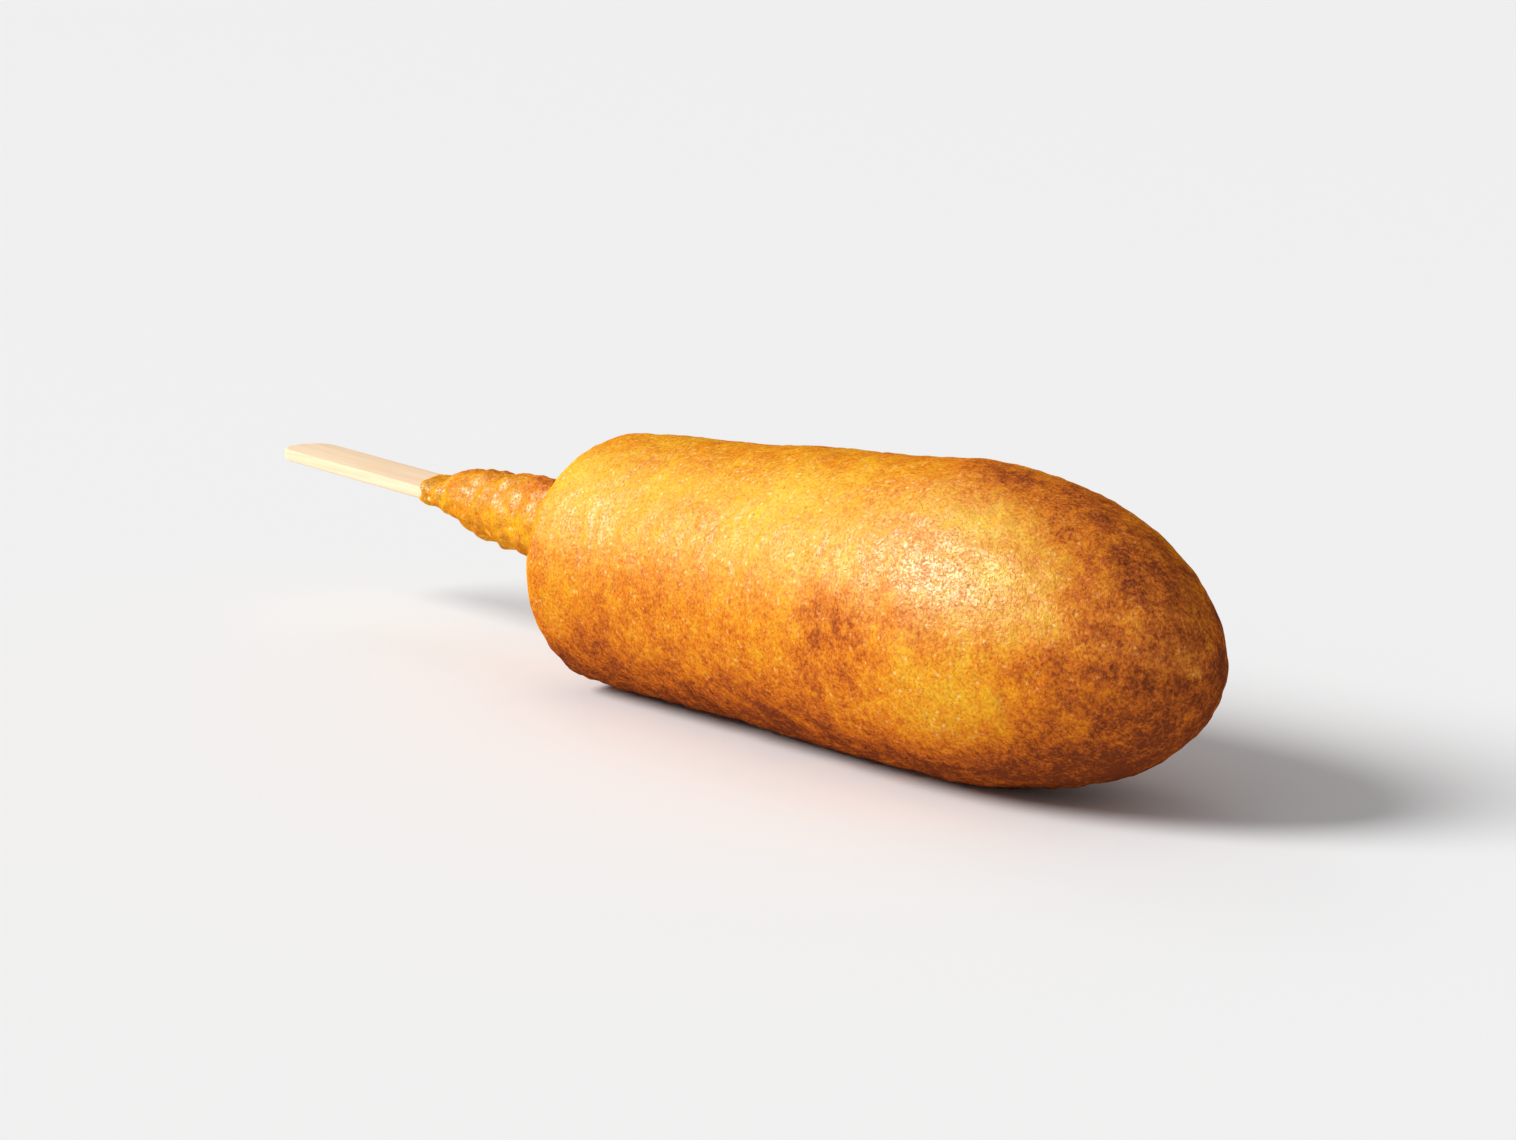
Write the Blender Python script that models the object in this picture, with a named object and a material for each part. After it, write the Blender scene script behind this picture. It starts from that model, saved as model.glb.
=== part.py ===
"""Corn dog lying on its side: one fried batter crust on one flat wooden stick.

Metres, +Z up. +X runs along the corn dog towards its thick tip, -X along the bare stick.
The origin is on the table, under the middle of the whole length. A "station" is a distance
along X from the shoulder, where the thick body starts: positive towards the tip, negative
along the stick. "Degrees" go round the food from its near side (0, facing -Y) over the top (90).
"""

import math

import bmesh
import bpy
import numpy as np
from mathutils import Matrix, Vector

MM = 0.001

# The body: the thick part of the crust.
BODY_LENGTH = 126.0 * MM
BODY_RADII = tuple(r * MM for r in (17.95, 19.2, 19.95, 21.1, 21.0, 20.0))  # evenly spaced, shoulder to tip
SHOULDER_CAP = 9.3 * MM  # length of the rounding at the shoulder
SHOULDER_POWER = 1.8
TIP_CAP = 40.5 * MM  # length of the rounding at the tip
TIP_POWER = 2.04
FLAT_DEPTH = 0.2 * MM  # what the flat spot takes off the round underside

# The collar: the sleeve of batter that ran down the stick.
COLLAR_LENGTH = 44.7 * MM
COLLAR_ROOT_RADIUS = 6.5 * MM
COLLAR_TIP_RADIUS = 5.0 * MM
COLLAR_TAPER = 19.5 * MM  # last stretch, where it flattens onto the stick
COLLAR_SLANT = 4.0 * MM  # how much further the lip reaches on the far side than in the middle
COLLAR_WALL = 0.4 * MM  # batter over the stick at the lip
ROOT_FILLET = 2.5 * MM  # softness of the corner between collar and shoulder
ROOT_STEP = 4.5 * MM  # stretch of the shoulder over which its middle drops from the stick to the body

# The stick: a flat craft stick with rounded ends, the rest of it inside the food.
STICK_LENGTH = 140.0 * MM
STICK_WIDTH = 9.5 * MM
STICK_THICKNESS = 2.0 * MM
STICK_OUT = 85.2 * MM  # from the shoulder to the bare end
STICK_END_LENGTH = 4.6 * MM
STICK_END_POWER = 2.4
STICK_END_STEPS = 14
STICK_EDGE = 0.25 * MM  # rounding of the long edges
STICK_PITCH = math.radians(2.2)  # the bare end points up a little
STICK_HEIGHT = 21.6 * MM  # height of its middle line at the shoulder
POCKET_GAP = 0.3 * MM  # free space round the stick inside the batter
POCKET_POWER = 8.0

# Soft swellings (and dents, negative): station, degrees, reach along, reach round in degrees, height.
SWELLINGS = (
    (26.0 * MM, 100.0, 12.0 * MM, 45.0, 0.2 * MM),
    (48.0 * MM, 100.0, 12.0 * MM, 40.0, 0.55 * MM),
    (70.0 * MM, 100.0, 12.0 * MM, 40.0, -0.45 * MM),
    (92.0 * MM, 105.0, 12.0 * MM, 40.0, -0.3 * MM),
    (70.0 * MM, 285.0, 14.0 * MM, 45.0, 0.3 * MM),
    (112.0 * MM, 250.0, 10.0 * MM, 50.0, 0.2 * MM),
    (30.0 * MM, 200.0, 14.0 * MM, 45.0, -0.4 * MM),
    (60.0 * MM, 185.0, 14.0 * MM, 40.0, 0.3 * MM),
    (-10.0 * MM, 330.0, 6.0 * MM, 50.0, 0.5 * MM),
    (-14.0 * MM, 80.0, 6.0 * MM, 60.0, 0.2 * MM),
    (-24.0 * MM, 90.0, 4.0 * MM, 60.0, -0.6 * MM),
    (-28.0 * MM, 215.0, 5.0 * MM, 60.0, 0.5 * MM),
    (-34.0 * MM, 80.0, 3.0 * MM, 60.0, 0.55 * MM),
)

RING_SIDES = 48
RING_SPACING = 2.7 * MM
SHOULDER_X = (STICK_OUT - BODY_LENGTH) / 2  # puts the origin under the middle of the whole length

CRUST_COLOUR = (0.62, 0.27, 0.05, 1.0)
WOOD_COLOUR = (0.80, 0.60, 0.36, 1.0)

STATIONS = np.linspace(0.0, BODY_LENGTH, len(BODY_RADII))
BODY_CURVE = np.polynomial.Polynomial.fit(STATIONS, BODY_RADII, len(BODY_RADII) - 1)


def clear_scene():
    """Removes every object of the startup scene."""
    for obj in list(bpy.data.objects):
        bpy.data.objects.remove(obj)


def make_material(name, colour, roughness):
    """A Principled material of one colour."""
    material = bpy.data.materials.new(name)
    material.use_nodes = True
    shader = material.node_tree.nodes["Principled BSDF"]
    shader.inputs["Base Color"].default_value = colour
    shader.inputs["Roughness"].default_value = roughness
    shader.inputs["Metallic"].default_value = 0.0
    return material


def smooth_step(value, low, high):
    """0 at low, 1 at high, a smooth change between them and level beyond."""
    share = np.clip((value - low) / (high - low), 0.0, 1.0)
    return share * share * (3.0 - 2.0 * share)


def round_end(distance, length, power):
    """Share of the full size at a distance inside a rounded end: 0 at the very end, 1 past its length."""
    inward = np.clip(1.0 - distance / length, 0.0, 1.0)
    return (1.0 - inward**power) ** (1.0 / power)


def signed_power(value, power):
    """The power of the value's size, with the value's sign."""
    return math.copysign(abs(value) ** power, value)


def body_radius(station):
    """Radius of the body, with both ends rounded, and 0 beyond it."""
    inside = np.clip(station, 0.0, BODY_LENGTH)
    shoulder = round_end(inside, SHOULDER_CAP, SHOULDER_POWER)
    tip = round_end(BODY_LENGTH - inside, TIP_CAP, TIP_POWER)
    return BODY_CURVE(inside) * shoulder * tip


def collar_radius(station):
    """Radius of the collar before it flattens onto the stick. It ends a little way inside the body."""
    share = np.clip(-station / COLLAR_LENGTH, 0.0, 1.0)
    radius = COLLAR_ROOT_RADIUS + (COLLAR_TIP_RADIUS - COLLAR_ROOT_RADIUS) * share
    return radius * (1.0 - smooth_step(station, 0.0, 4.0 * ROOT_FILLET))


def outer_radius(station):
    """Body and collar as one outline, with a soft inside corner between them."""
    body, collar = body_radius(station), collar_radius(station)
    nearness = np.clip(1.0 - np.abs(body - collar) / ROOT_FILLET, 0.0, 1.0)
    fillet = nearness**2 * ROOT_FILLET / 4.0
    return np.maximum(body, collar) + fillet * (collar > 0.0)


def ring_stations():
    """Stations of the rings from the tip to the lip, evenly spaced along the outline."""
    fine = BODY_LENGTH - (BODY_LENGTH + COLLAR_LENGTH) * np.linspace(0.0, 1.0, 4001) ** 1.5
    steps = np.hypot(np.diff(fine), np.diff(outer_radius(fine)))
    run = np.concatenate([[0.0], np.cumsum(steps)])
    count = round(run[-1] / RING_SPACING)
    return np.interp(np.linspace(0.0, run[-1], count + 1)[1:], run, fine)


def stick_height(station):
    """Height of the stick's middle line."""
    return STICK_HEIGHT - station * math.tan(STICK_PITCH)


def crust_height(station):
    """Height of the crust's middle: round the stick on the collar, and lying on the table on the body."""
    lying = float(BODY_CURVE(np.clip(station, 0.0, BODY_LENGTH))) - FLAT_DEPTH
    on_body = float(smooth_step(station, -0.2 * ROOT_STEP, ROOT_STEP))
    return stick_height(station) + (lying - stick_height(station)) * on_body


def swelling(station, degrees):
    """Height of the soft swellings at one place on the crust."""
    height = 0.0
    for at, turn, along, around, peak in SWELLINGS:
        off = (degrees - turn + 180.0) % 360.0 - 180.0
        height += peak * math.exp(-(((station - at) / along) ** 2) - (off / around) ** 2)
    return height


def section_ring(station, half_width, half_height, power, height, slant, swollen):
    """Corners of a ring with a rounded-box section: power 2 is an ellipse, and more is squarer."""
    corners = []
    for side in range(RING_SIDES):
        degrees = 360.0 * side / RING_SIDES
        angle = math.radians(degrees)
        grow = 1.0 + swelling(station, degrees) / half_height if swollen else 1.0
        y = -half_width * signed_power(math.cos(angle), 2.0 / power) * grow
        z = half_height * signed_power(math.sin(angle), 2.0 / power) * grow
        corners.append(Vector((SHOULDER_X + station - slant * y, y, height + z)))
    return corners


def crust_ring(station):
    """Corners of one ring of the crust's outside."""
    radius = float(outer_radius(station))
    flatten = float(smooth_step(-station, COLLAR_LENGTH - COLLAR_TAPER, COLLAR_LENGTH))
    lip = POCKET_GAP + COLLAR_WALL
    half_width = radius + (STICK_WIDTH / 2 + lip - radius) * flatten
    half_height = radius + (STICK_THICKNESS / 2 + lip - radius) * flatten
    slant = COLLAR_SLANT / (STICK_WIDTH / 2) * flatten
    height = crust_height(station)
    power = 2.0 + 2.0 * flatten**2
    return section_ring(station, half_width, half_height, power, height, slant, True)


def pocket_ring(station, slant):
    """Corners of one ring of the pocket that the stick sits in."""
    half_width = STICK_WIDTH / 2 + POCKET_GAP
    half_height = STICK_THICKNESS / 2 + POCKET_GAP
    height = stick_height(station)
    return section_ring(station, half_width, half_height, POCKET_POWER, height, slant, False)


def loft(rings, tip):
    """A closed shape that starts at the tip point, follows the rings and is capped at the last one."""
    shape = bmesh.new()
    disc = bmesh.ops.create_circle(shape, cap_ends=True, cap_tris=True, segments=RING_SIDES, radius=1.0)
    centre = min(disc["verts"], key=lambda v: v.co.length)
    centre.co = tip
    ring = [v for v in disc["verts"] if v is not centre]
    ring.sort(key=lambda v: math.atan2(v.co.y, v.co.x) % math.tau)
    for corner, place in zip(ring, rings[0]):
        corner.co = place
    for places in rings[1:]:
        edges = [shape.edges.get(pair) for pair in zip(ring, ring[1:] + ring[:1])]
        made = bmesh.ops.extrude_edge_only(shape, edges=edges)["geom"]
        fresh = {v for v in made if isinstance(v, bmesh.types.BMVert)}
        ring = [next(n for e in v.link_edges if (n := e.other_vert(v)) in fresh) for v in ring]
        for corner, place in zip(ring, places):
            corner.co = place
    bmesh.ops.contextual_create(shape, geom=ring)
    return shape


def cut_flat_spot(shape):
    """Cuts the underside level with the table, as one flat face to rest on."""
    cut = bmesh.ops.bisect_plane(
        shape,
        geom=shape.verts[:] + shape.edges[:] + shape.faces[:],
        plane_co=(0.0, 0.0, 0.0),
        plane_no=(0.0, 0.0, -1.0),
        clear_outer=True,
    )
    edges = [e for e in cut["geom_cut"] if isinstance(e, bmesh.types.BMEdge)]
    bmesh.ops.holes_fill(shape, edges=edges, sides=0)


def add_object(name, shape, material):
    """Makes one named object of a finished shape."""
    bmesh.ops.recalc_face_normals(shape, faces=shape.faces)
    mesh = bpy.data.meshes.new(name)
    shape.to_mesh(mesh)
    shape.free()
    mesh.materials.append(material)
    mesh.shade_smooth()
    mesh.set_sharp_from_angle(angle=math.radians(40.0))
    obj = bpy.data.objects.new(name, mesh)
    bpy.context.scene.collection.objects.link(obj)


def build_crust():
    """The batter as one piece: body, shoulder, collar, and the pocket round the stick."""
    rings = [crust_ring(station) for station in ring_stations()]
    rings.append(pocket_ring(-COLLAR_LENGTH, COLLAR_SLANT / (STICK_WIDTH / 2)))
    rings.append(pocket_ring(STICK_LENGTH - STICK_OUT + POCKET_GAP, 0.0))
    shape = loft(rings, Vector((SHOULDER_X + BODY_LENGTH, 0.0, crust_height(BODY_LENGTH))))
    cut_flat_spot(shape)
    add_object("crust", shape, make_material("fried_batter", CRUST_COLOUR, 0.45))


def stick_outline():
    """(x, y) corners of the stick seen from above, anticlockwise, centred on its middle."""
    outline = []
    for end in (1.0, -1.0):
        for step in range(STICK_END_STEPS + 1):
            angle = math.pi * (step / STICK_END_STEPS - 0.5)
            inset = STICK_END_LENGTH * (1.0 - math.cos(angle) ** (2.0 / STICK_END_POWER))
            y = STICK_WIDTH / 2 * signed_power(math.sin(angle), 2.0 / STICK_END_POWER)
            outline.append((end * (STICK_LENGTH / 2 - inset), end * y))
    return outline


def build_stick():
    """The flat stick along the pocket, with rounded ends and softened edges."""
    shape = bmesh.new()
    corners = [shape.verts.new((x, y, -STICK_THICKNESS / 2)) for x, y in stick_outline()]
    base = bmesh.ops.contextual_create(shape, geom=corners)["faces"]
    lid = bmesh.ops.extrude_face_region(shape, geom=base, use_keep_orig=True)["geom"]
    raised = [v for v in lid if isinstance(v, bmesh.types.BMVert)]
    bmesh.ops.translate(shape, verts=raised, vec=(0.0, 0.0, STICK_THICKNESS))
    rims = [e for e in shape.edges if e.verts[0].co.z * e.verts[1].co.z > 0.0]
    bmesh.ops.bevel(
        shape, geom=rims, offset=STICK_EDGE, segments=2, profile=0.5, affect="EDGES", material=-1
    )
    middle = STICK_LENGTH / 2 - STICK_OUT
    place = Matrix.Translation((SHOULDER_X + middle, 0.0, stick_height(middle)))
    turn = Matrix.Rotation(STICK_PITCH, 4, "Y")
    bmesh.ops.transform(shape, matrix=place @ turn, verts=shape.verts)
    add_object("stick", shape, make_material("stick_wood", WOOD_COLOUR, 0.7))


clear_scene()
build_crust()
build_stick()
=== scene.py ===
"""A corn dog lying on its side: the finished batter and stick, with the floor, light and camera.

Metres, +Z up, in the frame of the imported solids. +X runs towards the thick tip, -X along the
bare stick, and the food lies on the table at Z = 0. A "station" is a distance along X from the
shoulder, where the thick body starts: positive towards the tip, negative along the stick.
"Degrees" go round the food from its near side (0, facing -Y) over the top (90).
"""

import logging
import math
from dataclasses import dataclass
from enum import Enum
from typing import Callable, Sequence

import bmesh
import bpy
import numpy as np
from mathutils import Matrix, Vector, noise


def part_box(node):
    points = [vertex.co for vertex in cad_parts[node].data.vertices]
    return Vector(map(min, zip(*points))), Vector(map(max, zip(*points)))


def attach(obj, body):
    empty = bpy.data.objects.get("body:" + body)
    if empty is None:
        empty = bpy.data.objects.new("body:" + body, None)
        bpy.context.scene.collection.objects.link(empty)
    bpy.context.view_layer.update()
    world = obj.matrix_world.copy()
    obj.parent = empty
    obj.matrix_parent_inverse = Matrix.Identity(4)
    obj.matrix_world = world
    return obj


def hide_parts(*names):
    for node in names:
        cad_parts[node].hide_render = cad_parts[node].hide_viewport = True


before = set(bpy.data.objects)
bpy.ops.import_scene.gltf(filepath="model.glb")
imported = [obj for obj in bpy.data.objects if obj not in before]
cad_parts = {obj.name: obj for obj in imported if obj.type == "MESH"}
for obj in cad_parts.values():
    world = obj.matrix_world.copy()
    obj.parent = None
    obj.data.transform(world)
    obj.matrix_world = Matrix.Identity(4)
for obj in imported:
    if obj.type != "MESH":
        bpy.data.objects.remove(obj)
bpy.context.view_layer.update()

MM = 0.001
LOG = logging.getLogger("corn_dog")


class Slot(Enum):
    """The record's material slots."""

    BATTER = "fried_batter"
    WOOD = "stick_wood"


class Layer(Enum):
    """Names of the values that the batter's skin carries on its vertices."""

    STATION = "station"
    TURN = "turn"
    # Also holds painted shade: darker on the underside and in the crease behind the shoulder.
    BROWNING_AND_SHADE = "browning_and_shade"
    OIL = "oil"


# ---------------------------------------------------------------------------------------------
# Small helpers
# ---------------------------------------------------------------------------------------------


def smooth_step(value: np.ndarray, low: float, high: float) -> np.ndarray:
    """A smooth change from 0 at low to 1 at high, level beyond them.

    Args:
        value: Where to read the step.
        low: Where it is 0.
        high: Where it is 1.

    Returns:
        The step at each value.
    """
    share = np.clip((value - low) / (high - low), 0.0, 1.0)
    return share * share * (3.0 - 2.0 * share)


def round_end(distance: np.ndarray, length: float, power: float) -> np.ndarray:
    """Share of the full size inside a rounded end.

    Args:
        distance: Distance from the very end.
        length: Length of the rounding.
        power: 2 gives an ellipse, more a blunter end.

    Returns:
        0 at the very end, 1 past the rounding.
    """
    inward = np.clip(1.0 - distance / length, 0.0, 1.0)
    return (1.0 - inward**power) ** (1.0 / power)


def signed_power(value: np.ndarray, power: np.ndarray) -> np.ndarray:
    """The power of each value's size, with the value's sign."""
    return np.sign(value) * np.abs(value) ** power


def turn_between(degrees: np.ndarray, other: float) -> np.ndarray:
    """The shorter way round from one angle to others, in degrees."""
    return (degrees - other + 180.0) % 360.0 - 180.0


def rough_field(places: np.ndarray, wavelength: float, shift: float) -> np.ndarray:
    """Soft random hills and hollows through space, the same each run.

    Args:
        places: Points, one per row.
        wavelength: Rough size of one hill.
        shift: Moves the field, so that layers differ.

    Returns:
        A value from about -1 to 1 at each point.
    """
    scaled = places / wavelength + shift
    return np.array([noise.noise(Vector(place)) for place in scaled])


def blister_field(places: np.ndarray, spacing: float, shift: float) -> np.ndarray:
    """Scattered round bubbles through space, the same each run.

    Args:
        places: Points, one per row.
        spacing: Rough distance between the middles of the bubbles.
        shift: Moves the field, so that layers differ.

    Returns:
        1 in the middle of a bubble, 0 away from it.
    """
    scaled = places / spacing + shift
    nearest = np.array([noise.voronoi(Vector(place))[0][0] for place in scaled])
    return 1.0 - smooth_step(nearest, 0.0, 0.45)


@dataclass(frozen=True)
class Spot:
    """A soft round area on the batter.

    Attributes:
        station: Its middle along the food.
        degrees: Its middle round the food.
        along: Reach along the food.
        around: Reach round the food, in degrees.
        amount: Its height, or how much browner it is.
    """

    station: float
    degrees: float
    along: float
    around: float
    amount: float

    def at(self, station: np.ndarray, degrees: np.ndarray) -> np.ndarray:
        """The spot's share of its amount at each place."""
        along = (station - self.station) / self.along
        around = turn_between(degrees, self.degrees) / self.around
        return self.amount * np.exp(-(along**2) - around**2)


def spots_mm(*rows: Sequence[float]) -> tuple[Spot, ...]:
    """Spots from rows of station, degrees, reach along and reach round, with lengths in millimetres."""
    return tuple(Spot(s * MM, d, a * MM, r, amount) for s, d, a, r, amount in rows)


# ---------------------------------------------------------------------------------------------
# Shader building
# ---------------------------------------------------------------------------------------------


class Recipe:
    """Builds the nodes of one material or node group."""

    def __init__(self, tree: bpy.types.NodeTree) -> None:
        """Starts on a tree that may already hold nodes."""
        self.tree = tree

    def add(self, kind: str, sockets: dict | None = None, **settings: object) -> bpy.types.Node:
        """Adds one node.

        Args:
            kind: The node's type, without "ShaderNode".
            sockets: Input name or number to a value or an output socket.
            **settings: Attributes of the node.

        Returns:
            The node.
        """
        node = self.tree.nodes.new("ShaderNode" + kind)
        for name, value in settings.items():
            setattr(node, name, value)
        self.fill(node, sockets or {})
        return node

    def fill(self, node: bpy.types.Node, sockets: dict) -> None:
        """Sets or links a node's inputs, by name or by number."""
        for key, value in sockets.items():
            if isinstance(value, bpy.types.NodeSocket):
                self.tree.links.new(value, node.inputs[key])
            else:
                node.inputs[key].default_value = value

    def maths(self, operation: str, *values: object, clamp: bool = False) -> bpy.types.NodeSocket:
        """Adds a Math node and gives its result."""
        node = self.add("Math", dict(enumerate(values)), operation=operation, use_clamp=clamp)
        return node.outputs[0]

    def ramp(self, factor: bpy.types.NodeSocket, stops: Sequence[tuple]) -> bpy.types.NodeSocket:
        """A colour ramp.

        Args:
            factor: What it reads.
            stops: Pairs of position and linear (r, g, b).

        Returns:
            Its colour.
        """
        node = self.add("ValToRGB", {"Fac": factor})
        elements = node.color_ramp.elements
        while len(elements) < len(stops):
            elements.new(1.0)
        for element, (position, colour) in zip(elements, stops):
            element.position = position
            element.color = (*colour, 1.0)
        return node.outputs["Color"]

    def mix_colour(self, factor: object, a: object, b: object, blend: str = "MIX") -> bpy.types.NodeSocket:
        """Mixes two colours and gives the result."""
        node = self.add("Mix", {"Factor": factor}, data_type="RGBA", blend_type=blend)
        colours = [socket for socket in node.inputs if socket.type == "RGBA"]
        for socket, value in zip(colours, (a, b)):
            if isinstance(value, bpy.types.NodeSocket):
                self.tree.links.new(value, socket)
            else:
                socket.default_value = (*value, 1.0)
        return next(socket for socket in node.outputs if socket.type == "RGBA")

    def group(self, tree: bpy.types.NodeTree, sockets: dict) -> bpy.types.Node:
        """Places a node group with its own values."""
        node = self.tree.nodes.new("ShaderNodeGroup")
        node.node_tree = tree
        self.fill(node, sockets)
        return node


def new_group(name: str, inputs: Sequence[tuple], outputs: Sequence[str]) -> tuple[Recipe, dict, bpy.types.Node]:
    """An empty shader node group.

    Args:
        name: Its name.
        inputs: Name, socket type and default value of each input; the default may be None.
        outputs: Names of its outputs, all numbers.

    Returns:
        Its recipe, its inputs by name and its output node.
    """
    tree = bpy.data.node_groups.new(name, "ShaderNodeTree")
    for label, kind, value in inputs:
        socket = tree.interface.new_socket(label, in_out="INPUT", socket_type=kind)
        if value is not None:
            socket.default_value = value
    for label in outputs:
        tree.interface.new_socket(label, in_out="OUTPUT", socket_type="NodeSocketFloat")
    source = tree.nodes.new("NodeGroupInput")
    return Recipe(tree), {s.name: s for s in source.outputs}, tree.nodes.new("NodeGroupOutput")


def mottle_group() -> bpy.types.NodeTree:
    """Soft patches: a noise cut between two levels.

    Returns:
        A group with the inputs Vector, Size (metres), Detail, Low and High, and the output Factor.
    """
    recipe, given, out = new_group(
        "Mottle",
        [
            ("Vector", "NodeSocketVector", None),
            ("Size", "NodeSocketFloat", 0.005),
            ("Detail", "NodeSocketFloat", 2.0),
            ("Low", "NodeSocketFloat", 0.35),
            ("High", "NodeSocketFloat", 0.65),
        ],
        ["Factor"],
    )
    scale = recipe.maths("DIVIDE", 1.0, given["Size"])
    cloud = recipe.add("TexNoise", {"Vector": given["Vector"], "Scale": scale, "Detail": given["Detail"]})
    cut = recipe.add(
        "MapRange",
        {"Value": cloud.outputs["Fac"], "From Min": given["Low"], "From Max": given["High"]},
        interpolation_type="SMOOTHSTEP",
    )
    recipe.fill(out, {"Factor": cut.outputs["Result"]})
    return recipe.tree


def fleck_group() -> bpy.types.NodeTree:
    """Small scattered flecks, one in some of the cells of a pattern.

    Returns:
        A group with the inputs Vector, Spacing (metres), Radius (share of the spacing) and Share
        (of the cells that hold a fleck), and the output Factor.
    """
    recipe, given, out = new_group(
        "Flecks",
        [
            ("Vector", "NodeSocketVector", None),
            ("Spacing", "NodeSocketFloat", 0.003),
            ("Radius", "NodeSocketFloat", 0.2),
            ("Share", "NodeSocketFloat", 0.5),
        ],
        ["Factor"],
    )
    scale = recipe.maths("DIVIDE", 1.0, given["Spacing"])
    cells = recipe.add("TexVoronoi", {"Vector": given["Vector"], "Scale": scale})
    near = recipe.add(
        "MapRange",
        {"Value": cells.outputs["Distance"], "From Min": given["Radius"], "From Max": 0.0},
        interpolation_type="SMOOTHSTEP",
    )
    draw = recipe.add("SeparateColor", {"Color": cells.outputs["Color"]})
    chosen = recipe.maths("LESS_THAN", draw.outputs[0], given["Share"])
    recipe.fill(out, {"Factor": recipe.maths("MULTIPLY", near.outputs["Result"], chosen)})
    return recipe.tree


def grain_group() -> bpy.types.NodeTree:
    """Fine irregular grains, like coarse meal fried on.

    Returns:
        A group with the inputs Vector and Size (metres), and the output Height, from 0 to 1.
    """
    recipe, given, out = new_group(
        "Grains",
        [("Vector", "NodeSocketVector", None), ("Size", "NodeSocketFloat", 0.0008)],
        ["Height"],
    )
    scale = recipe.maths("DIVIDE", 1.0, given["Size"])
    cloud = recipe.add(
        "TexNoise",
        {"Vector": given["Vector"], "Scale": scale, "Detail": 3.0, "Roughness": 0.6, "Distortion": 0.6},
    )
    worm = recipe.maths("ABSOLUTE", recipe.maths("SUBTRACT", cloud.outputs["Fac"], 0.5))
    ridge = recipe.maths("SUBTRACT", 1.0, recipe.maths("MULTIPLY", worm, 5.0), clamp=True)
    height = recipe.maths("ADD", cloud.outputs["Fac"], recipe.maths("MULTIPLY", ridge, 0.12))
    recipe.fill(out, {"Height": recipe.maths("SUBTRACT", height, 0.05)})
    return recipe.tree


@dataclass(frozen=True)
class SharedEffects:
    """The node groups that the finishes use."""

    mottle: bpy.types.NodeTree
    flecks: bpy.types.NodeTree
    grains: bpy.types.NodeTree

    @classmethod
    def build(cls) -> "SharedEffects":
        """Makes the groups."""
        return cls(mottle_group(), fleck_group(), grain_group())


def new_material(name: str) -> tuple[bpy.types.Material, Recipe, bpy.types.Node]:
    """A material with only its Principled shader and output.

    Args:
        name: The material's name.

    Returns:
        The material, its recipe and its Principled node.
    """
    material = bpy.data.materials.new(name)
    material.use_nodes = True
    shader = material.node_tree.nodes["Principled BSDF"]
    return material, Recipe(material.node_tree), shader


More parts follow.
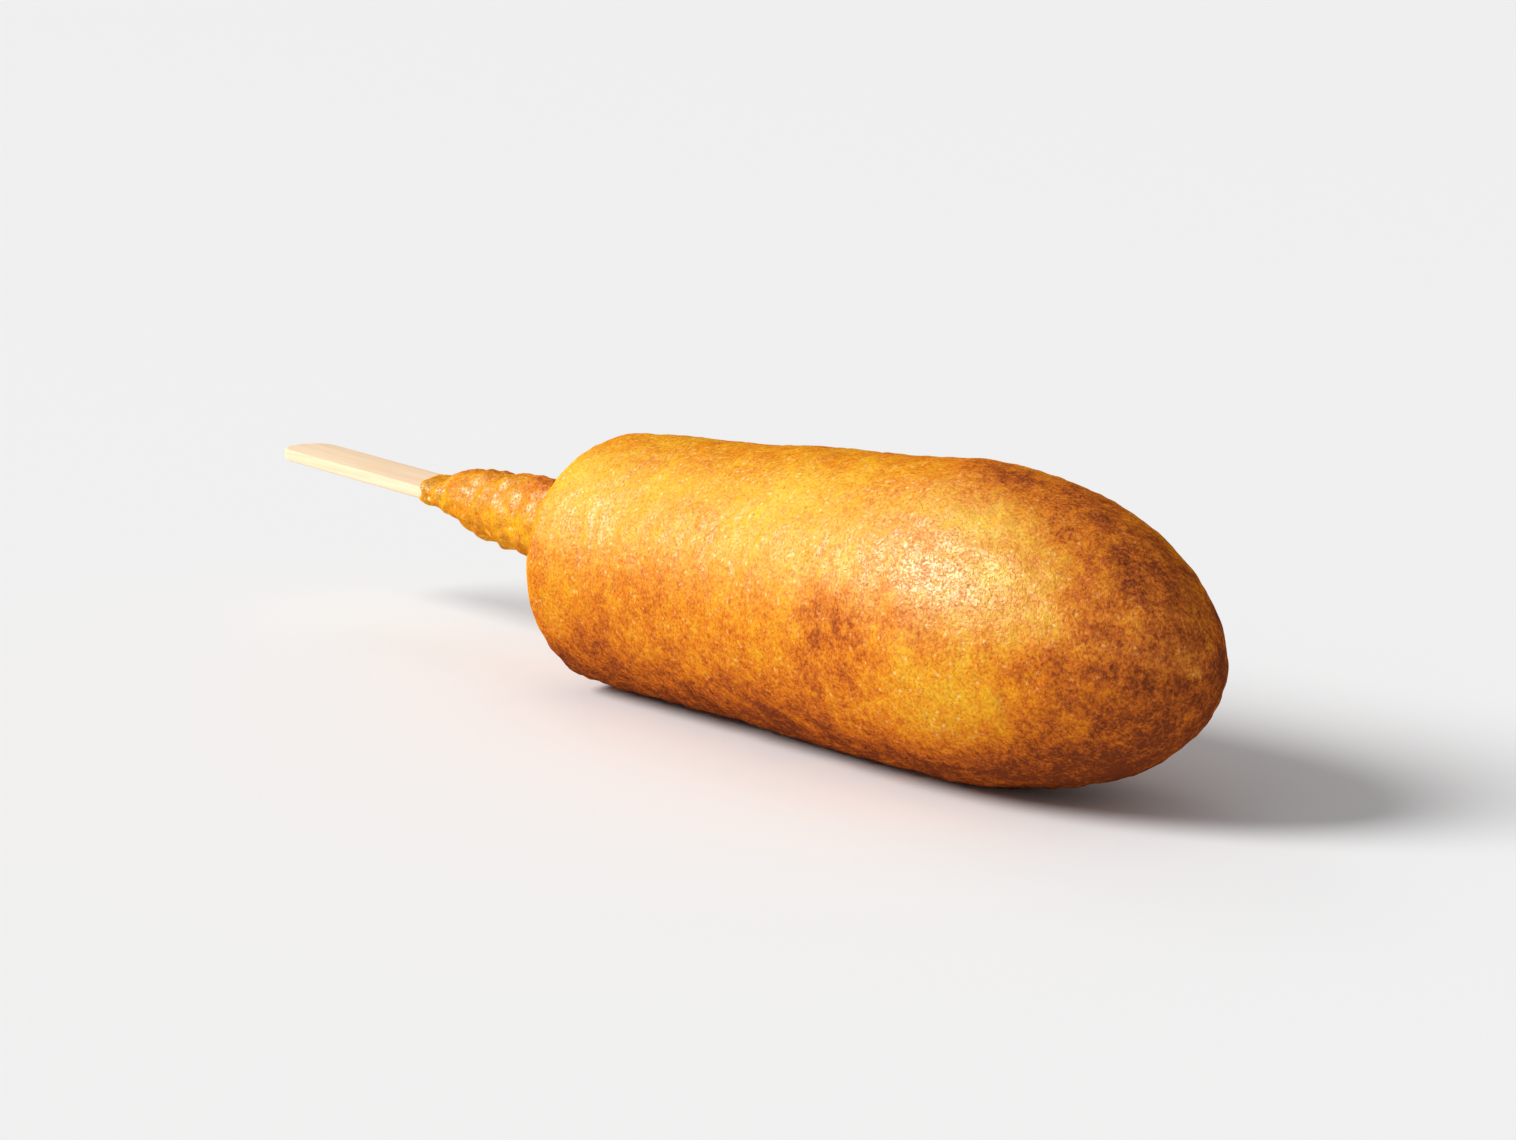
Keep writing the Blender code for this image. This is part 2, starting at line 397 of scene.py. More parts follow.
@dataclass(frozen=True)
class BatterFinish:
    """Fried corn batter: golden, browned in patches, gritty and a little oily.

    Attributes:
        stops: Colours from the palest gold to the darkest brown.
        fleck: Colour of the small dark flecks.
        meal_and_glint: Colour of the pale specks: partly cornmeal grains, partly painted glints.
        patches: Size, detail and strength of each layer of patches, from large to fine.
        calm: Strength of the patches on the palest batter, as a share of that on the brownest.
        crevice_shade: Painted shade: how much darker and browner the low places between the grains are.
        speckle: How much browner or paler the finest specks are.
        oil: Most of the oil film on golden batter; browned batter is drier.
        oil_index: How strongly the oil film mirrors.
        oil_roughness: Of the oil film.
        grain: Size of the grains of the skin.
        grain_height: Height of the tallest grains.
    """

    stops: tuple[tuple, ...] = (
        (0.00, (0.90, 0.57, 0.040)),
        (0.20, (0.84, 0.425, 0.014)),
        (0.40, (0.77, 0.280, 0.010)),
        (0.55, (0.70, 0.198, 0.011)),
        (0.70, (0.54, 0.128, 0.014)),
        (0.85, (0.35, 0.078, 0.016)),
        (1.00, (0.19, 0.042, 0.014)),
    )
    fleck: tuple = (0.22, 0.035, 0.008)
    # Pale specks: partly cornmeal grains, partly painted glints.
    meal_and_glint: tuple = (1.0, 0.84, 0.46)
    patches: tuple[tuple, ...] = ((8.0 * MM, 3.0, 0.16), (2.8 * MM, 4.0, 0.20), (0.9 * MM, 2.0, 0.20))
    calm: float = 0.40
    speckle: float = 0.20
    # Painted shade in the low places between the grains.
    crevice_shade: float = 0.55
    oil: float = 0.85
    oil_index: float = 2.1
    oil_roughness: float = 0.36
    grain: float = 0.45 * MM
    grain_height: float = 0.24 * MM

    def build(self, effects: SharedEffects) -> bpy.types.Material:
        """Makes the material.

        Args:
            effects: The shared node groups.

        Returns:
            The material.
        """
        material, recipe, shader = new_material("fried_batter_finish")
        place = recipe.add("TexCoord").outputs["Object"]
        grains = recipe.group(effects.grains, {"Vector": place, "Size": self.grain}).outputs["Height"]
        tone = self._tone(recipe, effects, place, grains)
        colour = self._flecked(recipe, effects, place, tone)
        relief = recipe.add("Bump", {"Height": grains, "Distance": self.grain_height, "Strength": 1.0})
        film = recipe.add(
            "MapRange", {"Value": tone, "From Min": 0.30, "From Max": 0.85, "To Min": self.oil, "To Max": 0.06}
        )
        upper = recipe.add("Attribute", attribute_name=Layer.OIL.value).outputs["Fac"]
        oily = recipe.maths("MULTIPLY", film.outputs["Result"], upper)
        facing = recipe.add("LayerWeight", {"Blend": 0.5}).outputs["Facing"]
        steep = recipe.add("MapRange", {"Value": facing, "From Min": 0.15, "From Max": 0.75, "To Min": 1.0, "To Max": 0.08})
        recipe.fill(
            shader,
            {
                "Base Color": colour,
                "Roughness": 0.7,
                "Specular IOR Level": 0.0,
                "Coat Weight": recipe.maths("MULTIPLY", oily, steep.outputs["Result"]),
                "Coat IOR": self.oil_index,
                "Coat Roughness": self.oil_roughness,
                "Normal": relief.outputs["Normal"],
                "Coat Normal": relief.outputs["Normal"],
            },
        )
        return material

    def _tone(
        self,
        recipe: Recipe,
        effects: SharedEffects,
        place: bpy.types.NodeSocket,
        grains: bpy.types.NodeSocket,
    ) -> bpy.types.NodeSocket:
        """How brown the batter is, from 0 to 1, with patches of every size and painted shade in the crevices; the
        skin's layer adds painted shade on the underside.
        """
        browning_and_shade = recipe.add("Attribute", attribute_name=Layer.BROWNING_AND_SHADE.value).outputs["Fac"]
        # Painted shade: the low places between the grains are made darker.
        low = recipe.maths("SUBTRACT", 0.5, grains)
        tone = recipe.maths("ADD", browning_and_shade, recipe.maths("MULTIPLY", low, self.crevice_shade))
        strength = recipe.add(
            "MapRange", {"Value": browning_and_shade, "From Min": 0.2, "From Max": 0.6, "To Min": self.calm}
        ).outputs["Result"]
        for size, detail, weight in self.patches:
            patch = recipe.group(
                effects.mottle, {"Vector": place, "Size": size, "Detail": detail, "Low": 0.28, "High": 0.72}
            ).outputs["Factor"]
            change = recipe.maths("MULTIPLY", recipe.maths("SUBTRACT", patch, 0.5), weight)
            tone = recipe.maths("ADD", tone, recipe.maths("MULTIPLY", change, strength))
        specks = recipe.group(
            effects.mottle, {"Vector": place, "Size": 0.42 * MM, "Detail": 1.0, "Low": 0.30, "High": 0.70}
        ).outputs["Factor"]
        change = recipe.maths("MULTIPLY", recipe.maths("SUBTRACT", specks, 0.5), self.speckle)
        return recipe.maths("ADD", tone, change)

    def _flecked(
        self, recipe: Recipe, effects: SharedEffects, place: bpy.types.NodeSocket, tone: bpy.types.NodeSocket
    ) -> bpy.types.NodeSocket:
        """The colour with small dark flecks and pale specks scattered over it, the specks partly cornmeal grains
        and partly painted glints.
        """
        flecks = recipe.group(
            effects.flecks, {"Vector": place, "Spacing": 2.6 * MM, "Radius": 0.16, "Share": 0.35}
        ).outputs["Factor"]
        # Pale specks: partly cornmeal grains, partly painted glints on the paler batter.
        meal_and_glint = recipe.group(
            effects.flecks, {"Vector": place, "Spacing": 0.95 * MM, "Radius": 0.38, "Share": 0.34}
        ).outputs["Factor"]
        fresh = recipe.maths("MULTIPLY", recipe.maths("SUBTRACT", 0.75, tone, clamp=True), 1.3)
        colour = recipe.ramp(tone, self.stops)
        colour = recipe.mix_colour(recipe.maths("MULTIPLY", meal_and_glint, fresh), colour, self.meal_and_glint)
        return recipe.mix_colour(recipe.maths("MULTIPLY", flecks, 0.7), colour, self.fleck)


@dataclass(frozen=True)
class WoodFinish:
    """Bare pale wood with a fine grain along X.

    Attributes:
        pale: Colour between the grain lines.
        deep: Colour of the grain lines.
        stretch: How much longer than wide the grain is.
        roughness: Of the bare wood.
    """

    pale: tuple = (0.99, 0.758, 0.515)
    deep: tuple = (0.90, 0.61, 0.355)
    stretch: float = 30.0
    roughness: float = 0.62

    def build(self, effects: SharedEffects) -> bpy.types.Material:
        """Makes the material.

        Args:
            effects: The shared node groups.

        Returns:
            The material.
        """
        material, recipe, shader = new_material("stick_wood_finish")
        place = recipe.add("TexCoord").outputs["Object"]
        along = recipe.add("Mapping", {"Vector": place, "Scale": (1.0 / self.stretch, 1.0, 1.0)}).outputs[0]
        bands = recipe.group(
            effects.mottle, {"Vector": along, "Size": 1.4 * MM, "Detail": 3.0, "Low": 0.30, "High": 0.72}
        ).outputs["Factor"]
        fibres = recipe.group(
            effects.mottle, {"Vector": along, "Size": 0.28 * MM, "Detail": 2.0, "Low": 0.30, "High": 0.70}
        ).outputs["Factor"]
        grain = recipe.maths("ADD", recipe.maths("MULTIPLY", bands, 0.6), recipe.maths("MULTIPLY", fibres, 0.3))
        pores = recipe.group(
            effects.flecks, {"Vector": along, "Spacing": 0.9 * MM, "Radius": 0.14, "Share": 0.3}
        ).outputs["Factor"]
        depth = recipe.maths("ADD", grain, recipe.maths("MULTIPLY", pores, 0.5), clamp=True)
        colour = recipe.mix_colour(depth, self.pale, self.deep)
        bump = recipe.add("Bump", {"Height": fibres, "Distance": 0.03 * MM, "Strength": 0.6})
        recipe.fill(shader, {"Base Color": colour, "Roughness": self.roughness, "Normal": bump.outputs["Normal"]})
        return material


# ---------------------------------------------------------------------------------------------
# The pieces
# ---------------------------------------------------------------------------------------------


def add_piece(name: str, mesh: bpy.types.Mesh, slot: Slot, *nodes: str) -> bpy.types.Object:
    """Puts a finished mesh in the scene in place of CAD nodes.

    Args:
        name: The piece's name.
        mesh: Its mesh, already in place.
        slot: The record's slot for its finish; not used.
        *nodes: The CAD nodes that it stands for.

    Returns:
        The piece.
    """
    piece = bpy.data.objects.new(name, mesh)
    bpy.context.scene.collection.objects.link(piece)
    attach(piece, "root")
    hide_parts(*nodes)
    LOG.info("%s: %d vertices, %d faces", name, len(mesh.vertices), len(mesh.polygons))
    return piece


@dataclass(frozen=True)
class Stick:
    """The flat wooden stick: its sizes, and its middle line through the batter.

    Attributes:
        length: From end to end.
        width: Across, along Y.
        thickness: Its height.
        out: From the shoulder to the bare end.
        end_length: Length of its rounded ends.
        end_power: Bluntness of its ends.
        edge: Rounding of its long edges.
        pitch: How steeply the bare end points up.
        height: Height of its middle line at the shoulder.
    """

    length: float = 140.0 * MM
    width: float = 9.5 * MM
    thickness: float = 2.0 * MM
    out: float = 85.2 * MM
    end_length: float = 4.6 * MM
    end_power: float = 2.4
    end_steps: int = 40
    edge: float = 0.45 * MM
    pitch: float = math.radians(2.2)
    height: float = 21.6 * MM

    def line_height(self, station: np.ndarray) -> np.ndarray:
        """Height of the middle line at each station."""
        return self.height - station * math.tan(self.pitch)

    def outline(self) -> list[Vector]:
        """Corners of the stick seen from above, centred on its middle."""
        corners = []
        for end in (1.0, -1.0):
            for step in range(self.end_steps + 1):
                angle = math.pi * (step / self.end_steps - 0.5)
                inset = self.end_length * (1.0 - math.cos(angle) ** (2.0 / self.end_power))
                across = math.copysign(abs(math.sin(angle)) ** (2.0 / self.end_power), math.sin(angle))
                corners.append(Vector((end * (self.length / 2 - inset), end * across * self.width / 2, 0.0)))
        return corners

    def build(self, shoulder_x: float, finish: bpy.types.Material) -> bpy.types.Object:
        """Makes the stick.

        Args:
            shoulder_x: Where station 0 is.
            finish: Its wood.

        Returns:
            The piece.
        """
        shape = bmesh.new()
        base = bmesh.ops.contextual_create(shape, geom=[shape.verts.new(c) for c in self.outline()])["faces"]
        lid = bmesh.ops.extrude_face_region(shape, geom=base, use_keep_orig=True)["geom"]
        raised = [v for v in lid if isinstance(v, bmesh.types.BMVert)]
        bmesh.ops.translate(shape, verts=raised, vec=(0.0, 0.0, self.thickness))
        bmesh.ops.translate(shape, verts=shape.verts, vec=(0.0, 0.0, -self.thickness / 2))
        rims = [e for e in shape.edges if e.verts[0].co.z * e.verts[1].co.z > 0.0]
        bmesh.ops.bevel(
            shape, geom=rims, offset=self.edge, segments=5, profile=0.5, affect="EDGES", material=-1
        )
        middle = self.length / 2 - self.out
        place = Matrix.Translation((shoulder_x + middle, 0.0, float(self.line_height(middle))))
        bmesh.ops.transform(shape, matrix=place @ Matrix.Rotation(self.pitch, 4, "Y"), verts=shape.verts)
        bmesh.ops.recalc_face_normals(shape, faces=shape.faces)
        mesh = bpy.data.meshes.new("wooden_stick")
        shape.to_mesh(mesh)
        shape.free()
        mesh.shade_smooth()
        mesh.set_sharp_from_angle(angle=math.radians(40.0))
        mesh.materials.append(finish)
        return add_piece("wooden_stick", mesh, Slot.WOOD, "stick")


@dataclass(frozen=True)
class Crust:
    """The batter as one skin: body, shoulder, collar and the mouth that grips the stick.

    Attributes:
        stick: The stick inside it.
        body_length: From the shoulder to the tip.
        body_radii: Evenly spaced, from the shoulder to the tip.
        shoulder_cap: Length of the rounding at the shoulder.
        tip_cap: Length of the rounding at the tip.
        flat_depth: What the flat spot takes off the round underside.
        collar_length: From the shoulder back to the mouth.
        collar_root: The collar's radius at the shoulder.
        collar_end: Its radius towards the mouth.
        collar_taper: Stretch over which it flattens onto the stick.
        mouth_slant: How much further the mouth reaches on the far side than in the middle.
        mouth_wall: Batter over the stick at the mouth.
        ragged: Unevenness of the mouth's edge.
        fillet: Softness of the corner between collar and shoulder.
        root_step: Stretch over which the middle drops from the stick's line to the body's.
        pocket_gap: Free space round the stick inside the batter.
        body_ring, collar_ring: Distances between the rings of vertices.
        sides: Vertices in one ring.
        swellings: Soft swellings and dents.
        tone_rises: Steps round the body, from -1 at the bottom to 1 at the top.
        tone_round: How brown the body is at each of them; the darker underside is partly the batter's own colour
            and partly painted shade.
        browned_and_shaded: Patches that are browner, or paler where negative; the one in the crease behind the
            shoulder is partly painted shade.
    """

    stick: Stick
    body_length: float = 126.0 * MM
    body_radii: tuple[float, ...] = (17.95 * MM, 19.2 * MM, 19.95 * MM, 21.1 * MM, 21.0 * MM, 20.0 * MM)
    shoulder_cap: float = 9.3 * MM
    shoulder_power: float = 1.8
    tip_cap: float = 40.5 * MM
    tip_power: float = 2.04
    flat_depth: float = 0.2 * MM
    collar_length: float = 44.7 * MM
    collar_root: float = 6.5 * MM
    collar_end: float = 5.0 * MM
    collar_taper: float = 19.5 * MM
    mouth_slant: float = 4.0 * MM
    mouth_wall: float = 0.4 * MM
    ragged: float = 0.40 * MM
    fillet: float = 2.5 * MM
    root_step: float = 4.5 * MM
    pocket_gap: float = 0.3 * MM
    body_ring: float = 0.50 * MM
    collar_ring: float = 0.62 * MM
    sides: int = 256
    swellings: tuple[Spot, ...] = spots_mm(
        (26.0, 100.0, 12.0, 45.0, 0.2 * MM),
        (48.0, 100.0, 12.0, 40.0, 0.55 * MM),
        (70.0, 100.0, 12.0, 40.0, -0.45 * MM),
        (92.0, 105.0, 12.0, 40.0, -0.3 * MM),
        (70.0, 285.0, 14.0, 45.0, 0.3 * MM),
        (112.0, 250.0, 10.0, 50.0, 0.2 * MM),
        (30.0, 200.0, 14.0, 45.0, -0.4 * MM),
        (60.0, 185.0, 14.0, 40.0, 0.3 * MM),
        (-10.0, 330.0, 6.0, 50.0, 0.5 * MM),
        (-14.0, 80.0, 6.0, 60.0, 0.2 * MM),
        (-24.0, 90.0, 4.0, 60.0, -0.6 * MM),
        (-28.0, 215.0, 5.0, 60.0, 0.5 * MM),
        (-34.0, 80.0, 3.0, 60.0, 0.55 * MM),
        (88.5, 8.0, 3.0, 8.0, -0.40 * MM),
        (92.0, -3.0, 3.0, 8.0, 0.25 * MM),
    )
    tone_rises: tuple[float, ...] = (-1.0, -0.92, -0.79, -0.60, -0.37, -0.12, 0.12, 0.37, 0.80, 1.0)
    # Darker towards the underside: partly the batter's own colour, partly painted shade.
    tone_round: tuple[float, ...] = (0.97, 0.95, 0.88, 0.75, 0.59, 0.50, 0.45, 0.31, 0.20, 0.42)
    browned_and_shaded: tuple[Spot, ...] = spots_mm(
        (42.0, 65.0, 8.0, 16.0, 0.10),
        (93.0, -3.0, 2.6, 8.0, -0.12),
        (83.0, 6.0, 10.0, 14.0, 0.12),
        (80.0, 52.0, 12.0, 18.0, 0.05),
        (100.0, 84.0, 15.0, 26.0, 0.29),
        (118.0, 75.0, 7.0, 40.0, 0.09),
        (119.5, 20.0, 3.5, 18.0, 0.08),
        (100.0, -28.0, 14.0, 18.0, -0.12),
        (107.0, 33.0, 6.0, 14.0, -0.09),
        (126.0, 0.0, 3.0, 180.0, -0.10),
        (117.0, -62.0, 9.0, 22.0, 0.12),
        (102.0, -13.0, 12.0, 18.0, -0.22),
        (60.0, 185.0, 75.0, 55.0, 0.16),
        (60.0, 145.0, 80.0, 36.0, 0.24),
        (110.0, 60.0, 8.0, 18.0, 0.07),
        (122.5, 97.0, 5.0, 30.0, -0.24),
        (123.5, -14.0, 3.0, 22.0, 0.09),
        (118.5, -2.0, 3.5, 16.0, -0.08),
        (121.0, 30.0, 3.0, 16.0, 0.05),
        (125.5, 4.0, 3.0, 20.0, -0.06),
        (115.0, 20.0, 5.0, 14.0, -0.11),
        (108.0, 18.0, 6.0, 12.0, -0.06),
        (96.0, 72.0, 6.0, 10.0, 0.05),
        (105.0, 64.0, 6.0, 12.0, -0.09),
        (77.0, 56.0, 10.0, 10.0, 0.07),
        (79.0, 2.0, 11.0, 14.0, 0.08),
        (-12.0, 170.0, 25.0, 55.0, 0.10),
        (-28.0, 100.0, 14.0, 45.0, 0.12),
        (-28.0, 200.0, 16.0, 60.0, 0.12),
        # Partly painted shade: the crease where the collar goes behind the shoulder.
        (-10.0, 80.0, 4.0, 50.0, 0.32),
        (2.0, 75.0, 3.5, 50.0, 0.16),
    )

    @property
    def shoulder_x(self) -> float:
        """Where station 0 is: the body's length back from the CAD crust's tip."""
        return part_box("crust")[1].x - self.body_length

    def body_middle(self, station: np.ndarray) -> np.ndarray:
        """The body's radius before its ends are rounded."""
        places = np.linspace(0.0, self.body_length, len(self.body_radii))
        curve = np.polynomial.Polynomial.fit(places, self.body_radii, len(self.body_radii) - 1)
        return curve(np.clip(station, 0.0, self.body_length))

    def outer_radius(self, station: np.ndarray) -> np.ndarray:
        """Body and collar as one outline, with a soft inside corner between them."""
        inside = np.clip(station, 0.0, self.body_length)
        body = (
            self.body_middle(station)
            * round_end(inside, self.shoulder_cap, self.shoulder_power)
            * round_end(self.body_length - inside, self.tip_cap, self.tip_power)
        )
        share = np.clip(-station / self.collar_length, 0.0, 1.0)
        collar = self.collar_root + (self.collar_end - self.collar_root) * share
        collar = collar * (1.0 - smooth_step(station, 0.0, 4.0 * self.fillet))
        nearness = np.clip(1.0 - np.abs(body - collar) / self.fillet, 0.0, 1.0)
        return np.maximum(body, collar) + nearness**2 * self.fillet / 4.0 * (collar > 0.0)

    def ring_stations(self) -> np.ndarray:
        """Stations of the rings from the tip to the mouth, close on the body and wider on the collar."""
        fine = self.body_length - (self.body_length + self.collar_length) * np.linspace(0.0, 1.0, 8001) ** 1.5
        steps = np.hypot(np.diff(fine), np.diff(self.outer_radius(fine)))
        spacing = np.where(fine[1:] > 0.0, self.body_ring, self.collar_ring)
        run = np.concatenate([[0.0], np.cumsum(steps / spacing)])
        return np.interp(np.linspace(0.0, run[-1], round(run[-1]) + 1), run, fine)

    def middle_height(self, station: np.ndarray) -> np.ndarray:
        """Height of the crust's middle: on the stick's line at the collar, lying on the table at the body."""
        lying = self.body_middle(station) - self.flat_depth
        on_stick = self.stick.line_height(station)
        on_body = smooth_step(station, -0.2 * self.root_step, self.root_step)
        return on_stick + (lying - on_stick) * on_body

    def outside(self, station: np.ndarray, degrees: np.ndarray) -> np.ndarray:
        """Places on the smooth outside.

        Args:
            station: Station of each place.
            degrees: Degrees of each place.

        Returns:
            The places, with X counted from the shoulder.
        """
        radius = self.outer_radius(station)
        flatten = smooth_step(-station, self.collar_length - self.collar_taper, self.collar_length)
        width = radius + (self.stick.width / 2 + self.mouth_wall - radius) * flatten
        height = radius + (self.stick.thickness / 2 + self.mouth_wall - radius) * flatten
        swell = sum(spot.at(station, degrees) for spot in self.swellings)
        grow = 1.0 + swell / np.maximum(height, MM)
        return self.section(station, degrees, width * grow, height * grow, 2.0 + 2.0 * flatten**2, flatten)

    def section(
        self,
        station: np.ndarray,
        degrees: np.ndarray,
        width: np.ndarray,
        height: np.ndarray,
        power: np.ndarray,
        flatten: np.ndarray,
    ) -> np.ndarray:
        """Places on a rounded-box section round the middle line.

        Args:
            station: Station of each place.
            degrees: Degrees of each place.
            width: Half the section's width.
            height: Half the section's height.
            power: 2 for an ellipse, more for a squarer section.
            flatten: How much of the mouth's slant there is, from 0 to 1.

        Returns:
            The places, with X counted from the shoulder.
        """
        angle = np.radians(degrees)
        y = -width * signed_power(np.cos(angle), 2.0 / power)
        z = height * signed_power(np.sin(angle), 2.0 / power)
        x = station + (self.mouth_edge(degrees) - self.mouth_slant / (self.stick.width / 2) * y) * flatten
        return np.stack([x, y, self.middle_height(station) + z], axis=-1)

    def mouth_edge(self, degrees: np.ndarray) -> np.ndarray:
        """How far the ragged edge of the mouth stands back along X at each turn."""
        angle = np.radians(degrees)
        return self.ragged * (np.sin(3.0 * angle + 0.6) + 0.6 * np.sin(7.0 * angle + 2.1))

    def build(self, finish: bpy.types.Material) -> bpy.types.Object:
        """Makes the crust.

        Args:
            finish: Its batter.

        Returns:
            The piece.
        """
        mesh = self._smooth_skin()
        places = read_vectors(mesh.vertices, "co")
        normals = read_vectors(mesh.vertices, "normal")
        station = read_layer(mesh, Layer.STATION)
        degrees = read_layer(mesh, Layer.TURN)
        outside = station > -self.collar_length
        places += normals * (self._relief(places, station) * outside)[:, None]
        places[:, 2] = np.maximum(places[:, 2], 0.0)
        mesh.vertices.foreach_set("co", places.ravel())
        mesh.update()
        write_layer(mesh, Layer.BROWNING_AND_SHADE, self._browning_and_shade(places, station, degrees))
        write_layer(mesh, Layer.OIL, self._oil(station, degrees))
        for layer in (Layer.STATION, Layer.TURN):
            mesh.attributes.remove(mesh.attributes[layer.value])
        mesh.shade_smooth()
        mesh.materials.append(finish)
        return add_piece("batter_crust", mesh, Slot.BATTER, "crust")

    def _smooth_skin(self) -> bpy.types.Mesh:
        """The closed skin without its relief, from a grid rolled round the middle line."""
        stations = self.ring_stations()
        pocket_end = self.stick.length - self.stick.out + self.pocket_gap
        rows = len(stations) + 3
        shape = bmesh.new()
        bmesh.ops.create_grid(shape, x_segments=rows - 1, y_segments=self.sides, size=1.0)
        corners = np.array([v.co[:2] for v in shape.verts])
        row = np.rint((corners[:, 0] + 1.0) / 2.0 * (rows - 1)).astype(int)
        degrees = (corners[:, 1] + 1.0) / 2.0 * 360.0
        station = np.concatenate([stations, [-self.collar_length, pocket_end, pocket_end]])[row]
        places = self.outside(station, degrees)
        depth = row - len(stations) + 1
        places[depth > 0] = self._pocket(station, degrees, depth)[depth > 0]
        station_layer = shape.verts.layers.float.new(Layer.STATION.value)
        turn_layer = shape.verts.layers.float.new(Layer.TURN.value)
        on_mouth = depth > 0
        places[:, 0] += self.shoulder_x
        for corner, place, at, turn, inner in zip(shape.verts, places, station, degrees, on_mouth):
            corner.co = place
            corner[station_layer] = -1.0 if inner else at
            corner[turn_layer] = turn
        bmesh.ops.remove_doubles(shape, verts=shape.verts, dist=1e-7)
        bmesh.ops.recalc_face_normals(shape, faces=shape.faces)
        mesh = bpy.data.meshes.new("batter_crust")
        shape.to_mesh(mesh)
        shape.free()
        return mesh

    def _pocket(self, station: np.ndarray, degrees: np.ndarray, depth: np.ndarray) -> np.ndarray:
        """Places on the pocket's wall: tight on the stick at the mouth, clear of it inside, closed at its end."""
        spare = np.where(depth == 1, -0.02 * MM, self.pocket_gap)
        size = np.where(depth == 3, 0.0, 1.0)
        slant = np.where(depth == 1, 1.0, 0.0)
        width = (self.stick.width / 2 + spare) * size
        height = (self.stick.thickness / 2 + spare) * size
        angle = np.radians(degrees)
        y = -width * signed_power(np.cos(angle), np.full_like(angle, 0.25))
        z = height * signed_power(np.sin(angle), np.full_like(angle, 0.25))
        x = station + (self.mouth_edge(degrees) - self.mouth_slant / (self.stick.width / 2) * y) * slant
        return np.stack([x, y, self.stick.line_height(station) + z], axis=-1)

    def _relief(self, places: np.ndarray, station: np.ndarray) -> np.ndarray:
        """Height of the uneven skin: broad swells, lumps, pebbles and a few blisters."""
        collar = smooth_step(-station, -2.0 * MM, 6.0 * MM)
        swells = 0.30 * MM * rough_field(places, 15.0 * MM, 3.1) * (1.0 - 0.5 * collar)
        lumps = (0.14 + 0.30 * collar) * MM * rough_field(places, 5.0 * MM, 17.7)
        ridges = 0.70 * collar * MM * rough_field(places * (3.2, 1.0, 1.0), 10.0 * MM, 41.3)
        under = smooth_step(-places[:, 2], -12.0 * MM, -3.0 * MM)
        pebbles = (0.15 + 0.20 * collar + 0.14 * under) * MM * rough_field(places, 1.6 * MM, 5.3)
        crumbs = 0.34 * collar * MM * rough_field(places, 2.9 * MM, 11.9)
        blisters = 0.12 * MM * blister_field(places, 5.5 * MM, 8.9)
        return swells + lumps + ridges + crumbs + pebbles + blisters

    def _oil(self, station: np.ndarray, degrees: np.ndarray) -> np.ndarray:
        """How oily each place is, from 0 to 1: the upper side glistens, the underside and collar are drier."""
        upper = smooth_step(np.sin(np.radians(degrees)), -0.10, 0.45)
        body = smooth_step(station, -2.0 * MM, 6.0 * MM)
        tip = smooth_step(station, 90.0 * MM, 117.0 * MM)
        return (0.25 + 0.75 * upper) * (0.90 + 0.10 * body) * (1.0 - 0.68 * tip)

    def _browning_and_shade(self, places: np.ndarray, station: np.ndarray, degrees: np.ndarray) -> np.ndarray:
        """How brown each place is, from 0 to 1, with painted shade towards the underside and in the crease behind
        the shoulder.
        """
        rise = np.sin(np.radians(degrees))
        body = smooth_step(station, -2.0 * MM, 6.0 * MM)
        # Darker towards the underside: partly the batter's own colour, partly painted shade.
        round_it = np.interp(rise, self.tone_rises, self.tone_round)
        around = round_it * body + 0.36 * (1.0 - body)
        tip = 0.46 * smooth_step(station, 97.0 * MM, 127.0 * MM) * smooth_step(-around, -0.95, -0.45)
        patches = sum(spot.at(station, degrees) for spot in self.browned_and_shaded)
        clouds = 0.12 * rough_field(places, 11.0 * MM, 23.0)
        clouds += 0.14 * rough_field(places, 4.5 * MM, 31.0) * smooth_step(station, 80.0 * MM, 105.0 * MM)
        return np.clip(around + tip + patches + clouds, 0.0, 1.0)


def read_vectors(items: bpy.types.bpy_prop_collection, name: str) -> np.ndarray:
    """A vector property of every item, one per row."""
    values = np.empty(len(items) * 3, np.float32)
    items.foreach_get(name, values)
    return values.reshape(-1, 3).astype(np.float64)


def write_layer(mesh: bpy.types.Mesh, layer: Layer, values: np.ndarray) -> None:
    """Stores a number on every vertex."""
    mesh.attributes.new(layer.value, "FLOAT", "POINT").data.foreach_set("value", values)


def read_layer(mesh: bpy.types.Mesh, layer: Layer) -> np.ndarray:
    """A number stored on every vertex."""
    values = np.empty(len(mesh.vertices), np.float32)
    mesh.attributes[layer.value].data.foreach_get("value", values)
    return values.astype(np.float64)


# ---------------------------------------------------------------------------------------------
# The studio
# ---------------------------------------------------------------------------------------------


def direction(azimuth: float, elevation: float) -> Vector:
    """Unit vector from the object towards a place round it; azimuth 0 is at -Y and 90 at +X, in degrees."""
    turn, rise = math.radians(azimuth), math.radians(elevation)
    return Vector((math.sin(turn) * math.cos(rise), -math.cos(turn) * math.cos(rise), math.sin(rise)))


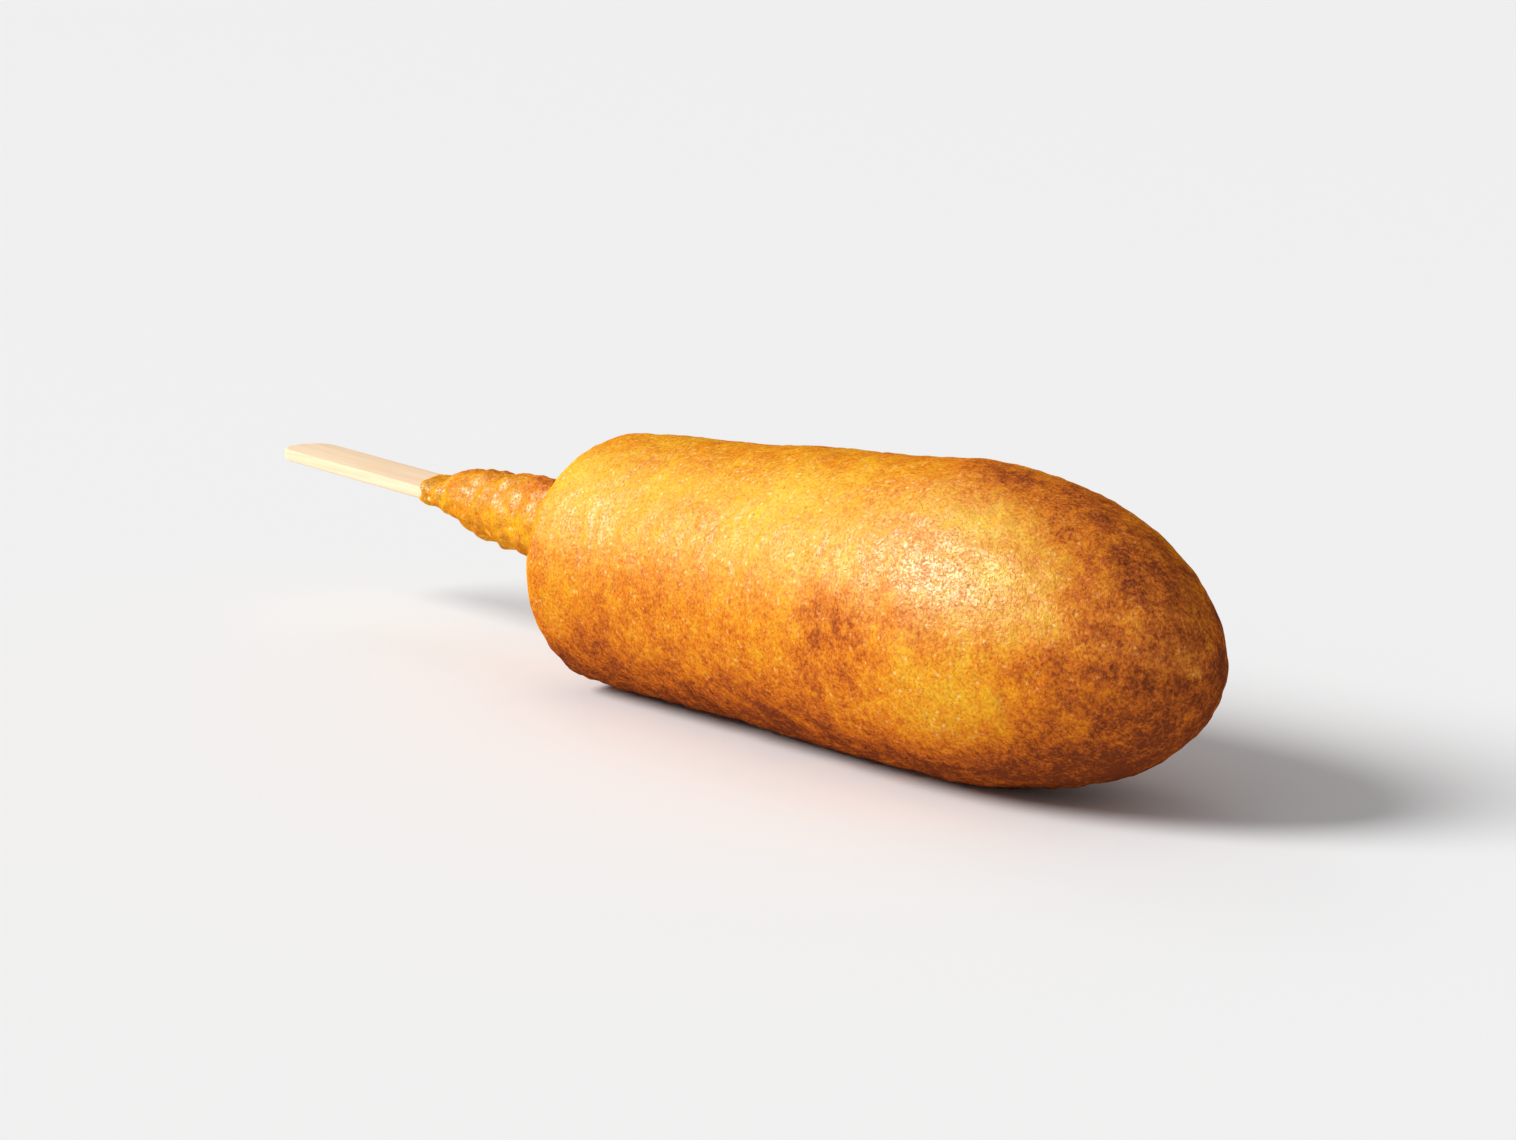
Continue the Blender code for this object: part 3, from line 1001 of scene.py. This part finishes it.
@dataclass(frozen=True)
class Studio:
    """Pale floor, soft light and the camera.

    Attributes:
        target: What the camera points at.
        azimuth, elevation: The camera's place round the target, in degrees.
        distance: From the camera to the target.
        lens: Focal length in millimetres on a sensor 36 mm wide.
        floor_radius: Size of the floor.
        floor_colour: Its colour.
        lamps: The lights: name, azimuth, elevation, strength and softness, all angles in degrees.
        sky: The even light from all round.
    """

    target: Vector = Vector((34.1 * MM, -12.4 * MM, 24.8 * MM))
    azimuth: float = 51.08
    elevation: float = 10.13
    distance: float = 460.0 * MM
    lens: float = 80.0
    floor_radius: float = 14.0
    floor_colour: tuple = (0.86, 0.86, 0.86, 1.0)
    lamps: tuple[tuple, ...] = (("key", -34.0, 36.0, 3.3, 30.0), ("back_light", -108.0, 33.0, 0.14, 16.0))
    sky: float = 0.38

    def build(self) -> None:
        """Makes the floor, the lights and the camera."""
        self._floor()
        for lamp in self.lamps:
            self._light(*lamp)
        self._sky()
        self._camera()
        bpy.context.scene.view_settings.view_transform = "Standard"

    def _floor(self) -> None:
        """A wide pale disc under the food."""
        shape = bmesh.new()
        bmesh.ops.create_circle(shape, cap_ends=True, segments=96, radius=self.floor_radius)
        bmesh.ops.translate(shape, verts=shape.verts, vec=(0.0, 0.0, -0.05 * MM))
        mesh = bpy.data.meshes.new("floor")
        shape.to_mesh(mesh)
        shape.free()
        material, _, shader = new_material("floor_paint")
        shader.inputs["Base Color"].default_value = self.floor_colour
        shader.inputs["Roughness"].default_value = 0.9
        shader.inputs["Specular IOR Level"].default_value = 0.1
        mesh.materials.append(material)
        floor = bpy.data.objects.new("floor", mesh)
        bpy.context.scene.collection.objects.link(floor)

    def _light(self, name: str, azimuth: float, elevation: float, power: float, softness: float) -> None:
        """One distant soft light."""
        lamp = bpy.data.lights.new(name, "SUN")
        lamp.energy = power
        lamp.angle = math.radians(softness)
        light = bpy.data.objects.new(name, lamp)
        light.rotation_mode = "QUATERNION"
        light.rotation_quaternion = direction(azimuth, elevation).to_track_quat("Z", "Y")
        bpy.context.scene.collection.objects.link(light)

    def _sky(self) -> None:
        """Even light from all round."""
        world = bpy.data.worlds.new("studio")
        world.use_nodes = True
        backdrop = world.node_tree.nodes["Background"]
        backdrop.inputs["Color"].default_value = (1.0, 1.0, 1.0, 1.0)
        backdrop.inputs["Strength"].default_value = self.sky
        bpy.context.scene.world = world

    def _camera(self) -> None:
        """The camera, level and looking at the target."""
        back = direction(self.azimuth, self.elevation)
        lens = bpy.data.cameras.new("camera")
        lens.lens = self.lens
        lens.sensor_width = 36.0
        lens.clip_start, lens.clip_end = 0.01, 100.0
        camera = bpy.data.objects.new("camera", lens)
        camera.location = self.target + back * self.distance
        camera.rotation_mode = "QUATERNION"
        camera.rotation_quaternion = back.to_track_quat("Z", "Y")
        bpy.context.scene.collection.objects.link(camera)
        bpy.context.scene.camera = camera


def main() -> None:
    """Builds the corn dog and its studio."""
    logging.basicConfig(level=logging.INFO, format="%(message)s")
    effects = SharedEffects.build()
    stick = Stick()
    crust = Crust(stick)
    crust.build(BatterFinish().build(effects))
    stick.build(crust.shoulder_x, WoodFinish().build(effects))
    Studio().build()


if __name__ == "__main__":
    main()
